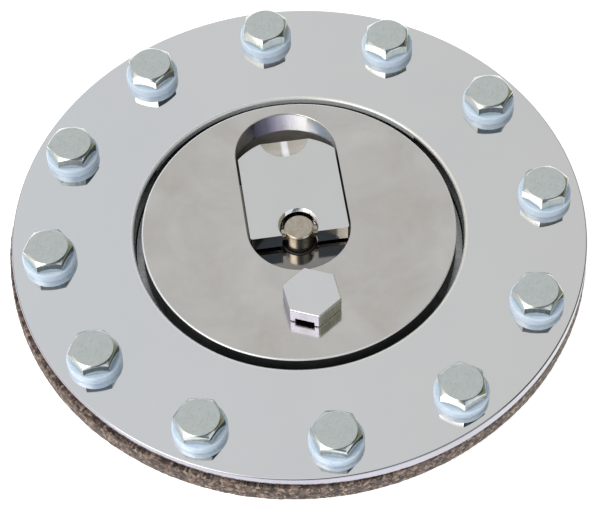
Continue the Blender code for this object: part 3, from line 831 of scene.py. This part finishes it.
def make_gasket():
    """The gasket is cut by hand: it stands out most towards its wide side, wavers, and is grainy."""
    lo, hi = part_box("gasket")
    top = FLANGE_TOP - RIM_THICKNESS - 0.01 * MM
    widest = hi.x - 0.35 * MM
    outer = FLANGE_RADIUS + 0.1 * MM
    bore = 45.6 * MM
    count = 900
    rows = 16
    shape = bmesh.new()
    rings = []
    for j in range(rows + 1):
        share = j / rows
        z = lo.z + (top - lo.z) * share
        edge = 0.25 * MM * (abs(2 * share - 1) ** 6)
        ring = []
        for k in range(count):
            t = FULL_TURN * k / count
            here = Vector((cos(t), sin(t), 0)) * outer + Vector((0, 0, z))
            waver = noise.noise(here * 60.0) * 0.15 * MM
            grain = noise.noise(here * 900.0) * 0.1 * MM + noise.noise(here * 2000.0) * 0.06 * MM
            wide = max(0.0, cos(t - GASKET_WIDE_SIDE)) ** 1.3
            reach = outer + (widest - outer) * wide
            radius = reach - edge + waver + grain
            ring.append((radius * cos(t), radius * sin(t), z))
        rings.append(ring)
    inner = [
        [(bore * cos(FULL_TURN * k / count), bore * sin(FULL_TURN * k / count), z) for k in range(count)]
        for z in (top, lo.z)
    ]
    wall(shape, rings + inner + [rings[0]])
    weld(shape)
    gasket = finished(shape, "gasket_fine", 50.0)
    add_piece(gasket, CORK, "flange", ["gasket"])


def bolt_places():
    for i in range(BOLT_COUNT):
        yield i, middle(f"bolt_{i + 1:02d}").xy


def make_nut_ring():
    lo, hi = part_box("nut_ring")
    outer = hi.x
    bore = 51.0 * MM
    hole = 3.05 * MM
    chamfer = 0.35 * MM
    soft = 0.4 * MM
    count = 240
    shape = bmesh.new()
    holes = [circle(hole + chamfer, place, 40) for _, place in bolt_places()]
    for z, sign in ((hi.z, -1), (lo.z, 1)):
        inner = circle(bore + soft, count=count)
        flat_face(shape, circle(outer - soft, count=count), [inner] + holes, z)
        for edge, way in ((outer, -1), (bore, 1)):
            wall(shape, [
                raised(circle(edge + way * offset, count=count), z + sign * drop)
                for offset, drop in rounding_only(soft)
            ])
    for radius in (outer, bore):
        wall(shape, [raised(circle(radius, count=count), z) for z in (hi.z - soft, lo.z + soft)])
    for _, place in bolt_places():
        wall(shape, [
            raised(circle(hole + chamfer, place, 40), hi.z),
            raised(circle(hole, place, 40), hi.z - chamfer),
            raised(circle(hole, place, 40), lo.z + chamfer),
            raised(circle(hole + chamfer, place, 40), lo.z),
        ])
    weld(shape)
    ring = finished(shape, "nut_ring_fine")
    add_piece(ring, PLAIN_STEEL, "flange", ["nut_ring"])


def place_copies(kind, mesh, turns, material):
    """One copy of the mesh at each bolt's place, each turned by its own angle."""
    for i, place in bolt_places():
        node = f"{kind}_{i + 1:02d}"
        item = new_object(node + "_fine", mesh)
        item.location = (place.x, place.y, 0)
        item.rotation_euler = (0, 0, turns[i])
        add_piece(item, material, "flange", [node])


def make_bolts():
    lo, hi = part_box("bolt_01")
    washer_low, washer_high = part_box("washer_01")
    head_bottom = washer_high.z + 0.1 * MM
    top = hi.z
    shape = bmesh.new()
    hexagon_head(
        shape, BOLT_HEAD_FLATS, head_bottom, top, BOLT_HEAD_FLATS / 2 - BOLT_HEAD_CHAMFER,
        HEAD_SLOPE_DEG, soft=0.1 * MM,
    )
    head = finished(shape, "bolt_head_fine", 24.0)
    shank_radius = 3.0 * MM
    tip = 0.6 * MM
    profile = [(0, lo.z), (shank_radius - tip, lo.z)]
    profile += thread_profile(shank_radius, lo.z + tip, head_bottom - 3 * MM, 1.0 * MM, 0.45 * MM)
    profile += [(shank_radius, head_bottom - 1.5 * MM), (shank_radius, head_bottom + 0.5 * MM)]
    profile += [(0, head_bottom + 0.5 * MM)]
    shank = lathe("bolt_shank_fine", profile, 40, closed=False)
    mesh = joined([head, shank], "bolt_fine")
    place_copies("bolt", mesh, [radians(turn + 30) for turn in BOLT_TURNS_DEG], ZINC)

    outer = (washer_high.x - washer_low.x) / 2
    bore = 3.3 * MM
    bottom = FLANGE_TOP + 0.005 * MM
    profile = [
        (bore, bottom, 0.1 * MM), (outer, bottom, 0.03 * MM), (outer, washer_high.z, 0.45 * MM),
        (bore, washer_high.z, 0.1 * MM),
    ]
    first = lathe("washer_mesh", rounded(profile, 0, closed=True), 96)
    mesh = first.data
    bpy.data.objects.remove(first, do_unlink=True)
    place_copies("washer", mesh, [radians(37 * i) for i in range(BOLT_COUNT)], NYLON)


# ---- cap

def pocket_loop(offset, count=48):
    """The pocket's outline, made larger by the offset, starting where the deeper recess starts."""
    radius = POCKET_RADIUS + offset
    near = arc((0, 0), radius, pi, FULL_TURN, count)
    far = arc((0, POCKET_LENGTH), radius, 0, pi, count)
    return [(-radius, RECESS_START)] + near + [(radius, RECESS_START)] + far


def slope_foot(point):
    """Where a point of the recess's far edge comes down to, at the slope's foot."""
    x, y = point
    reach = max(SLOPE_ARC_RADIUS**2 - x * x, 0)
    return (x, min(y, SLOPE_ARC_Y + sqrt(reach)))


def make_cap():
    vent = middle("vent_screw").xy
    vent_hole = 4.3 * MM
    rim_bottom = FLANGE_TOP - LEDGE_DEPTH + 0.3 * MM
    boss_radius = 36.4 * MM
    boss_bottom = FLANGE_TOP - 9.5 * MM
    spigot_radius = 30.7 * MM
    bottom = low("cap_disc").z
    spindle_hole = 3.9 * MM
    seal_seat = 4.6 * MM
    seal_bottom = POCKET_FLOOR - 1.1 * MM
    rim_soft = 0.4 * MM
    pocket_soft = 0.22 * MM
    rim_count = 288
    shape = bmesh.new()

    top_hole = circle(vent_hole, vent, 72)
    flat_face(
        shape, circle(CAP_RADIUS - rim_soft - SUPPORT, count=rim_count),
        [pocket_loop(pocket_soft + SUPPORT), top_hole], CAP_TOP,
    )
    rim = edge_rounding(rim_soft)
    wall(shape, [
        raised(circle(CAP_RADIUS - offset, count=rim_count), CAP_TOP - drop) for offset, drop in rim
    ])
    edge = edge_rounding(pocket_soft, 3)
    wall(shape, [raised(pocket_loop(offset), CAP_TOP - drop) for offset, drop in edge])
    loop = pocket_loop(0)
    foot = [slope_foot(p) if p[1] > RECESS_START else p for p in loop]
    slope_bottom = CAP_TOP - SLOPE_FALL
    foot_edge = [((x * 7 + u) / 8, (y * 7 + v) / 8) for (x, y), (u, v) in zip(foot, loop)]
    foot_top = slope_bottom + (SLOPE_FALL - edge[-1][1]) / 8
    wall(shape, [
        raised(loop, CAP_TOP - edge[-1][1]), raised(foot_edge, foot_top), raised(foot, slope_bottom),
        raised(foot, slope_bottom - 0.3 * MM), raised(foot, POCKET_FLOOR),
    ])
    near = [p for p in foot if p[1] <= RECESS_START + 1e-9]
    far = [p for p in foot if p[1] >= RECESS_START - 1e-9]
    far = far[1:] + far[:1]
    seat = circle(seal_seat, count=72)
    bore = circle(spindle_hole, count=72)
    flat_face(shape, near, [seat], POCKET_FLOOR)
    flat_face(shape, far, [], RECESS_FLOOR)
    wall(shape, [raised(far, POCKET_FLOOR), raised(far, RECESS_FLOOR)])
    wall(shape, [raised(seat, POCKET_FLOOR), raised(seat, seal_bottom), raised(bore, seal_bottom),
                 raised(bore, bottom)])
    wall(shape, [raised(top_hole, CAP_TOP), raised(top_hole, bottom)])
    flat_face(shape, circle(spigot_radius, count=rim_count), [bore, top_hole], bottom)
    side = [
        (CAP_RADIUS, CAP_TOP - rim[-1][1]), (CAP_RADIUS, rim_bottom), (boss_radius, rim_bottom),
        (boss_radius, boss_bottom), (spigot_radius, boss_bottom), (spigot_radius, bottom),
    ]
    wall(shape, [raised(circle(radius, count=rim_count), z) for radius, z in side])
    weld(shape)
    cap = finished(shape, "cap_disc_fine", 35.0)
    side_reach = POCKET_RADIUS - 0.01 * MM

    # Painted highlight on the cap's rounded top edge.
    def on_cap_rim(at):
        high_enough = CAP_TOP - 0.8 * rim_soft <= at.z < CAP_TOP - 0.003 * MM
        return at.xy.length > CAP_RADIUS - rim_soft and high_enough

    # Painted shade on the cap's side, down in the gap.
    def in_gap(at):
        outside = at.xy.length > CAP_RADIUS - 0.05 * MM and at.z < CAP_TOP - 0.8 * rim_soft
        return outside or (at.xy.length > boss_radius - MM and at.z < rim_bottom + MM)

    # Painted shade on the pocket's long sides.
    def on_pocket_side(at):
        straight = 0 < at.y < POCKET_LENGTH and abs(at.x) > side_reach
        return straight and at.z < CAP_TOP - pocket_soft and abs(at.x) < POCKET_RADIUS + 0.1 * MM

    # Painted shade in the deep recess below the slope.
    def in_recess(at):
        deep = at.z < slope_bottom - 0.02 * MM and at.y > RECESS_START - 0.01 * MM
        return deep and at.xy.length < CAP_RADIUS - 2 * MM and abs(at.x) <= POCKET_RADIUS

    # Painted reflections on the recess slope.
    def on_slope(at):
        far = at.y > RECESS_START and slope_bottom - 0.02 * MM < at.z < CAP_TOP - pocket_soft
        return far and at.xy.length < CAP_RADIUS - 2 * MM and abs(at.x) <= POCKET_RADIUS

    # Painted shade in the near pocket.
    def in_near_pocket(at):
        within = abs(at.x) < POCKET_RADIUS + 0.1 * MM and -POCKET_RADIUS - 0.1 * MM < at.y < RECESS_START
        return within and POCKET_FLOOR - 0.1 * MM < at.z < CAP_TOP - MM

    add_piece(
        cap, CAP_METAL, "cap", ["cap_disc"],
        [(POCKET_SHADE_METAL, in_near_pocket), (SLOPE_REFLECTION_METAL, on_slope), (GAP_SHADE_METAL, in_gap),
         (LIP_HIGHLIGHT_METAL, on_cap_rim),
         (PAINTED_SHADE_METAL, on_pocket_side), (RECESS_SHADE_METAL, in_recess)],
    )


def make_lever():
    lo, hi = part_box("lever")
    half = hi.x
    heel = -lo.y
    tip_y = hi.y
    shoulder = 22.5 * MM
    rise = tip_y - shoulder
    tip_radius = (half * half + rise * rise) / (2 * rise)
    spread = asin(half / tip_radius)
    corner = 0.35 * MM
    tip = arc((0, tip_y - tip_radius), tip_radius, pi / 2 - spread, pi / 2 + spread, 40)
    notch = arc((0, LEVER_NOTCH_Y), LEVER_NOTCH_RADIUS, pi, 0, 40)
    outline = tip + [(-half, -heel + corner), (-half + corner, -heel), (-LEVER_NOTCH_RADIUS, -heel)]
    outline += notch + [(LEVER_NOTCH_RADIUS, -heel), (half - corner, -heel), (half, -heel + corner)]
    shape = bmesh.new()
    flat_face(shape, outline, [], lo.z)
    flat_face(shape, outline, [], hi.z)
    wall(shape, [raised(outline, lo.z), raised(outline, hi.z)])
    weld(shape)
    bmesh.ops.dissolve_limit(shape, angle_limit=radians(0.2), verts=shape.verts, edges=shape.edges)
    lever = finished(shape, "lever_fine")
    ball_radius = (DISH_RADIUS**2 + DISH_DEPTH**2) / (2 * DISH_DEPTH)
    shape = bmesh.new()
    bmesh.ops.create_uvsphere(shape, u_segments=128, v_segments=96, radius=ball_radius)
    shape.transform(Matrix.Rotation(pi / 2, 4, "X"))
    dish = finished(shape, "dish_cutter")
    dish.location = (0, tip_y + DISH_OFFSET, CAP_TOP - DISH_DEPTH + ball_radius)
    hole = lathe(
        "lever_hole_cutter", [(0, -20 * MM), (1.6 * MM, -20 * MM), (1.6 * MM, 20 * MM), (0, 20 * MM)],
        40, (0, 0, PIN_HEIGHT), closed=False, axis="X",
    )
    chamfer_size = LEVER_HEEL_CHAMFER * sqrt(2)
    chamfer = block(
        "heel_cutter", (2 * width("lever"), chamfer_size, chamfer_size), pi / 4,
        (0, -heel, lo.z), "X",
    )
    depth = NOTCH_CHAMFER
    notch_cone = lathe(
        "notch_cutter",
        [(0, hi.z - depth - MM), (LEVER_NOTCH_RADIUS - MM, hi.z - depth - MM),
         (LEVER_NOTCH_RADIUS + depth + MM, hi.z + MM), (0, hi.z + MM)],
        96, (0, LEVER_NOTCH_Y, 0), closed=False,
    )
    cut_away(lever, dish, hole, chamfer, notch_cone)
    soften(lever, 0.16 * MM, 30.0, 5)
    flatten_shading(lever, 20.0)
    dish_middle = Vector((0, tip_y + DISH_OFFSET, CAP_TOP - DISH_DEPTH + ball_radius))

    # Painted reflection and highlight in the thumb dish.
    def in_dish(at):
        return (at - dish_middle).length < ball_radius + 0.03 * MM and at.z > lo.z + MM

    add_piece(
        lever, LEVER_METAL, "lever", ["lever"], [(DISH_REFLECTION_METAL, in_dish)],
    )


def make_spindle():
    lo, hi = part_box("spindle")
    radius = (hi.x - lo.x) / 2
    thread = 3.0 * MM
    neck = low("pressure_plate").z + 7 * MM
    chamfer = 0.3 * MM
    profile = [(0, lo.z), (thread - chamfer, lo.z)]
    profile += thread_profile(thread, lo.z + chamfer, neck - MM, 1.0 * MM, 0.4 * MM)
    profile += [(thread, neck), (radius, neck)]
    profile += rounded(
        [(radius, neck + MM), (radius, hi.z - chamfer, 0.12 * MM), (radius - chamfer, hi.z, 0.12 * MM),
         (0, hi.z)], 0, 3,
    )
    spindle = lathe("spindle_fine", profile, 96, closed=False)
    add_piece(spindle, NICKEL, "spindle", ["spindle"])

    lo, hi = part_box("cross_pin")
    reach = (hi.x - lo.x) / 2
    pin_radius = (hi.z - lo.z) / 2
    profile = rounded(
        [(0, -reach), (pin_radius, -reach, 0.25 * MM), (pin_radius, reach, 0.25 * MM), (0, reach)], 0
    )
    pin = lathe("cross_pin_fine", profile, 48, (0, 0, PIN_HEIGHT), closed=False, axis="X")
    add_piece(pin, NICKEL, "spindle", ["cross_pin"])

    lo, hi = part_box("spindle_seal")
    section = (hi.z - lo.z) / 2
    ring_radius = (hi.x - lo.x) / 2 - section
    centre = (hi.z + lo.z) / 2
    profile = circle(section, (ring_radius, centre), 24)
    seal = lathe("spindle_seal_fine", profile, 96)
    add_piece(seal, RUBBER, "cap", ["spindle_seal"])


def make_vent():
    lo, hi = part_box("vent_screw")
    vent = middle("vent_ball").xy
    axis_foot = (vent.x, vent.y, 0)
    head_bottom = CAP_TOP + 0.2 * MM
    head_top = hi.z
    shape = bmesh.new()
    corners = circle(VENT_FLATS / sqrt(3), count=6, start=VENT_TURN + pi / 6)
    flat_face(shape, corners, [], head_bottom)
    flat_face(shape, corners, [], hi.z)
    wall(shape, [raised(corners, head_bottom), raised(corners, hi.z)])
    weld(shape)
    bmesh.ops.dissolve_limit(shape, angle_limit=radians(1), verts=shape.verts, edges=shape.edges)
    head = finished(shape, "vent_screw_fine", 24.0)
    slot = block(
        "slot_cutter", (VENT_FLATS, VENT_SLOT_WIDTH, 2 * VENT_SLOT_HEIGHT), VENT_SLOT_DIRECTION,
        (VENT_FLATS / 2 * cos(VENT_SLOT_DIRECTION), VENT_FLATS / 2 * sin(VENT_SLOT_DIRECTION),
         head_bottom),
    )
    cut_away(head, slot)
    soften(head, 0.3 * MM, 30.0, 4)
    stem_radius = 4.0 * MM
    chamber = 2.6 * MM
    passage = 1.5 * MM
    seat = FLANGE_TOP - 4.5 * MM
    profile = [(passage, head_bottom + 0.6 * MM), (passage, seat), (chamber, seat - 1.1 * MM),
               (chamber, lo.z), (stem_radius - 0.4 * MM, lo.z)]
    profile += thread_profile(stem_radius, lo.z + 0.4 * MM, head_bottom - 3 * MM, 0.8 * MM, 0.3 * MM)
    profile += [(stem_radius, head_bottom - 1.5 * MM), (stem_radius, head_bottom + 0.6 * MM)]
    stem = lathe("vent_stem_fine", profile, 64)
    head = new_object("vent_screw_fine", joined([head, stem], "vent_screw_mesh"))
    flatten_shading(head, 40.0)
    head.location = axis_foot

    slot_way = Vector((cos(VENT_SLOT_DIRECTION), sin(VENT_SLOT_DIRECTION)))

    # Painted shade in the vent head's slot.
    def in_slot(at):
        along = at.xy.dot(slot_way)
        across = abs(at.xy.dot(Vector((-slot_way.y, slot_way.x))))
        low_enough = head_bottom - MM < at.z < head_bottom + VENT_SLOT_HEIGHT + 0.05 * MM
        return 0 < along < VENT_FLATS / 2 - 0.1 * MM and across < 0.52 * VENT_SLOT_WIDTH and low_enough

    # Painted reflection on the vent head's side faces.
    def on_side(at):
        return at.xy.length > VENT_FLATS / 2 - 0.15 * MM and head_bottom < at.z < head_top - 0.2 * MM

    add_piece(
        head, VENT_METAL, "cap", ["vent_screw"],
        [(VENT_SIDE_REFLECTION_METAL, on_side), (PAINTED_SHADE_METAL, in_slot)],
    )

    lo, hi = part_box("vent_ball")
    radius = (hi.z - lo.z) / 2
    profile = arc((0, 0), radius, -pi / 2, pi / 2, 24)
    profile[0] = (0, -radius)
    profile[-1] = (0, radius)
    ball = lathe("vent_ball_fine", profile, 48, (vent.x, vent.y, (lo.z + hi.z) / 2), closed=False)
    add_piece(ball, PLAIN_STEEL, "vent_ball", ["vent_ball"])

    retainer = plain_ring("vent_retainer", MM, 0.12 * MM, 64, axis_foot)
    add_piece(retainer, PLAIN_STEEL, "cap", ["vent_retainer"])

    lo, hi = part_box("vent_spring")
    wire = 0.25 * MM
    spring_radius = (hi.x - lo.x) / 2 - wire
    spring = coil("vent_spring_fine", spring_radius, wire, lo.z, hi.z, 3, axis_foot)
    add_piece(spring, SPRING_STEEL, None, ["vent_spring"])
    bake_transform(spring)


def plain_ring(node, bore, soft, segments, place=(0, 0, 0)):
    """A flat ring as wide and as tall as its node."""
    lo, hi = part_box(node)
    outer = (hi.x - lo.x) / 2
    profile = [(bore, lo.z), (outer, lo.z), (outer, hi.z), (bore, hi.z)]
    return lathe(node + "_fine", rounded(profile, soft, closed=True), segments, place)


def make_underside():
    lo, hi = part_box("expander_ring")
    outer = hi.x
    side = outer - 0.3 * MM
    bore = 31.0 * MM
    profile = [
        (bore, lo.z, 0.3 * MM), (side, lo.z, 0.8 * MM), (outer, (lo.z + hi.z) / 2, 4 * MM),
        (side, hi.z, 0.8 * MM), (bore, hi.z, 0.3 * MM),
    ]
    ring = lathe("expander_ring_fine", rounded(profile, 0, 8, closed=True), 192)
    add_piece(ring, RUBBER, None, ["expander_ring"])
    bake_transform(ring)

    lo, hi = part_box("pressure_plate")
    outer = hi.x
    spigot = 30.7 * MM
    collar = 27.5 * MM
    hole = 3.3 * MM
    plate_top = lo.z + 3 * MM
    profile = [
        (hole, lo.z, 0.2 * MM), (outer, lo.z, 0.5 * MM), (outer, plate_top, 0.4 * MM),
        (spigot, plate_top, 0.2 * MM), (spigot, hi.z, 0.3 * MM), (collar, hi.z, 0.3 * MM),
        (collar, plate_top, 0.3 * MM), (hole, plate_top, 0.2 * MM),
    ]
    plate = lathe("pressure_plate_fine", rounded(profile, 0, closed=True), 192)
    add_piece(plate, PLAIN_STEEL, "spindle", ["pressure_plate"])

    washer = plain_ring("plate_washer", hole, 0.15 * MM, 80)
    add_piece(washer, PLAIN_STEEL, "spindle", ["plate_washer"])

    lo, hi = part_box("adjusting_nut")
    shape = bmesh.new()
    hexagon_head(shape, 10 * MM, lo.z, hi.z, 4.7 * MM, 28.0, pi / 6, 12, hole)
    nut = finished(shape, "adjusting_nut_fine", 24.0)
    add_piece(nut, PLAIN_STEEL, "spindle", ["adjusting_nut"])

    lo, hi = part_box("release_spring")
    wire = 0.6 * MM
    radius = (hi.x - lo.x) / 2 - wire
    spring = coil("release_spring_fine", radius, wire, lo.z, hi.z, 2.5)
    add_piece(spring, SPRING_STEEL, None, ["release_spring"])
    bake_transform(spring)


# ---- studio

# Direction the light comes from as (azimuth from +Y towards +X, elevation), inner and outer half
# angles, and colour. Later entries lie over earlier ones.
SKY = (0.66, 0.675, 0.69)
GLOWS = (
    ((0, 90), 6, 30, (0.95, 0.98, 1.05)),
    ((0, 0), 10, 34, (1.05, 1.05, 1.10)),
    ((90, 20), 20, 70, (0.30, 0.29, 0.20)),
    ((150, 50), 10, 46, (0.10, 0.10, 0.11)),
    ((84, 58), 18, 30, (0.05, 0.055, 0.06)),
    ((-110, 48), 20, 44, (1.25, 1.20, 1.12)),
    ((178, 8), 10, 30, (0.72, 0.77, 0.86)),
    ((174, 57), 8, 24, (0.13, 0.16, 0.20)),
    ((6, 55), 16, 30, (0.70, 0.71, 0.72)),
)


def direction(azimuth_deg, elevation_deg):
    a, e = radians(azimuth_deg), radians(elevation_deg)
    return Vector((sin(a) * cos(e), cos(a) * cos(e), sin(e)))


def make_studio():
    world = bpy.data.worlds.new("studio")
    bpy.context.scene.world = world
    world.use_nodes = True
    tree = world.node_tree
    tree.nodes.clear()
    n = Nodes(tree)
    way = n.add("ShaderNodeTexCoord").outputs["Generated"]
    colour = SKY
    for place, inner, outer, glow in GLOWS:
        dot = n.add("ShaderNodeVectorMath")
        dot.operation = "DOT_PRODUCT"
        tree.links.new(way, dot.inputs[0])
        dot.inputs[1].default_value = direction(*place)
        edges = (cos(radians(outer)), cos(radians(inner)))
        share = n.spread(dot.outputs["Value"], *edges, curve="SMOOTHSTEP")
        colour = n.mix(share, colour, glow)
    seen = n.add("ShaderNodeLightPath").outputs["Is Camera Ray"]
    colour = n.mix(seen, colour, (1.0, 1.0, 1.0))
    background = n.add("ShaderNodeBackground", Color=colour, Strength=1.0)
    output = n.add("ShaderNodeOutputWorld")
    tree.links.new(background.outputs[0], output.inputs["Surface"])

    floor = new_object("floor", bpy.data.meshes.new("floor"))
    shape = bmesh.new()
    bmesh.ops.create_grid(shape, x_segments=8, y_segments=8, size=3.0)
    shape.to_mesh(floor.data)
    shape.free()
    floor.location.z = min(cad_box[0].z, 0) - 0.2 * MM
    material, n, shader = new_material("pale floor")
    cloud = n.noise(n.position(), 12.0, 3.0)
    tone = n.ramp(cloud, [(0.3, (0.90, 0.90, 0.90)), (0.7, (0.93, 0.93, 0.93))])
    n.feed(shader, {
        "Base Color": tone, "Roughness": 0.9, "Emission Color": (1, 1, 1, 1),
        "Emission Strength": 0.75,
    })
    floor.data.materials.append(material)

    for name, place, size, watts, tint in (
        ("key", (-0.55, -0.35, 0.75), 0.5, 3.0, (1.0, 0.98, 0.94)),
        ("fill", (0.5, -0.6, 0.6), 0.6, 1.0, (0.92, 0.96, 1.0)),
    ):
        lamp = bpy.data.lights.new(name, "AREA")
        lamp.size = size
        lamp.energy = watts
        lamp.color = tint
        item = new_object(name, lamp)
        item.location = place
        item.rotation_mode = "QUATERNION"
        item.rotation_quaternion = Vector(place).to_track_quat("Z", "Y")


# The camera's place, worked out from the flange's outline and the bolt heads
CAMERA_AZIMUTH = radians(-6.357)
CAMERA_ELEVATION = radians(55.268)
CAMERA_ROLL = radians(-2.155)
CAMERA_DISTANCE = 536.08 * MM
CAMERA_TARGET = Vector((-0.956 * MM, -8.564 * MM, FLANGE_TOP))
CAMERA_LENS = 133.46
SENSOR_WIDTH = 36.0


def make_camera():
    camera = bpy.data.cameras.new("camera")
    camera.lens = CAMERA_LENS
    camera.sensor_width = SENSOR_WIDTH
    camera.clip_start = 0.01
    camera.clip_end = 20
    item = new_object("camera", camera)
    a, e = CAMERA_AZIMUTH, CAMERA_ELEVATION
    back = Vector((sin(a) * cos(e), -cos(a) * cos(e), sin(e)))
    level = Vector((cos(a), sin(a), 0))
    rising = back.cross(level)
    right = level * cos(CAMERA_ROLL) + rising * sin(CAMERA_ROLL)
    up = rising * cos(CAMERA_ROLL) - level * sin(CAMERA_ROLL)
    turn = Matrix((right, up, back)).transposed().to_4x4()
    item.matrix_world = Matrix.Translation(CAMERA_TARGET + back * CAMERA_DISTANCE) @ turn
    bpy.context.scene.camera = item


make_flange()
make_gasket()
make_nut_ring()
make_bolts()
make_cap()
make_lever()
make_spindle()
make_vent()
make_underside()
make_studio()
make_camera()
bpy.context.scene.view_settings.view_transform = "Standard"
